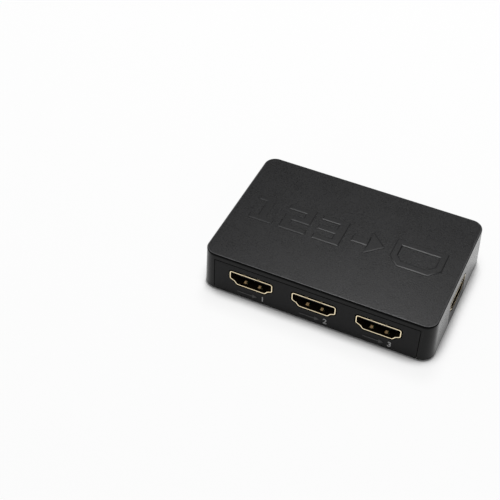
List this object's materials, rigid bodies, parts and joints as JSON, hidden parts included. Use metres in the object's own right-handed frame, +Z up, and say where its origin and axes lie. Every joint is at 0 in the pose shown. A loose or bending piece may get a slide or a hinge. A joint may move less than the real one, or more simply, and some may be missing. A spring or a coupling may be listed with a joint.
{
  "type": "hdmi switch box",
  "caption": "Small flat black box that switches between video inputs, with a select button, lamps, a remote receiver and a power jack.",
  "frame": {"origin": "on the table under the middle of the case, at the underside of the feet", "axes": "+X along the long face with the inputs, towards the short face with the output; -Y out of the inputs; +Z up through the roof"},
  "size_m": [0.0774, 0.0521, 0.0152],
  "materials": {
    "case_black": "satin moulded",
    "panel_black": "satin moulded",
    "button_black": "polished",
    "rubber_black": "matt",
    "screw_steel": "blackened",
    "board_green": "solder mask",
    "shell_gold": "gold plated",
    "insulator_black": "moulded",
    "contact_gold": "gold plated",
    "chip_black": "moulded",
    "crystal_steel": "drawn",
    "can_aluminium": "drawn",
    "base_black": "moulded",
    "capacitor_tan": "fired",
    "resistor_black": "glazed",
    "lead_tin": "tinned",
    "switch_black": "moulded",
    "lamp_green": "diffused",
    "receiver_dark": "polished",
    "window_dark": "polished, dark red",
    "jack_black": "moulded",
    "pin_nickel": "nickel plated"
  },
  "bodies": {
    "case": {"audio_jack_contacts": "lead_tin", "audio_jack_housing": "jack_black", "bottom_cover": "panel_black", "bulk_capacitor_1_base": "base_black", "bulk_capacitor_1_can": "can_aluminium", "bulk_capacitor_2_base": "base_black", "bulk_capacitor_2_can": "can_aluminium", "case_screws": "screw_steel", "chip_capacitors": "capacitor_tan", "chip_resistors": "resistor_black", "circuit_board": "board_green", "control_chip": "chip_black", "crystal": "crystal_steel", "foot_1": "rubber_black", "foot_2": "rubber_black", "foot_3": "rubber_black", "foot_4": "rubber_black", "input_1_contacts": "contact_gold", "input_1_insulator": "insulator_black", "input_1_shell": "shell_gold", "input_2_contacts": "contact_gold", "input_2_insulator": "insulator_black", "input_2_shell": "shell_gold", "input_3_contacts": "contact_gold", "input_3_insulator": "insulator_black", "input_3_shell": "shell_gold", "lamp_1": "lamp_green", "lamp_2": "lamp_green", "lamp_3": "lamp_green", "lamp_leads": "lead_tin", "output_contacts": "contact_gold", "output_insulator": "insulator_black", "output_shell": "shell_gold", "power_jack_contacts": "lead_tin", "power_jack_housing": "jack_black", "power_jack_pin": "pin_nickel", "receiver": "receiver_dark", "receiver_leads": "lead_tin", "receiver_window": "window_dark", "regulator": "chip_black", "switch_body": "switch_black", "switch_bracket": "lead_tin", "switch_chip": "chip_black", "top_cover": "case_black"},
    "button": {"select_button": "button_black", "switch_plunger": "switch_black"}
  },
  "joints": [
    {"name": "select_press", "type": "slide", "parent": "case", "child": "button", "axis": [0, -1, 0], "range_m": [0, 0.00035], "stiffness_N_per_m": 3000, "springref_m": -0.0002}
  ]
}
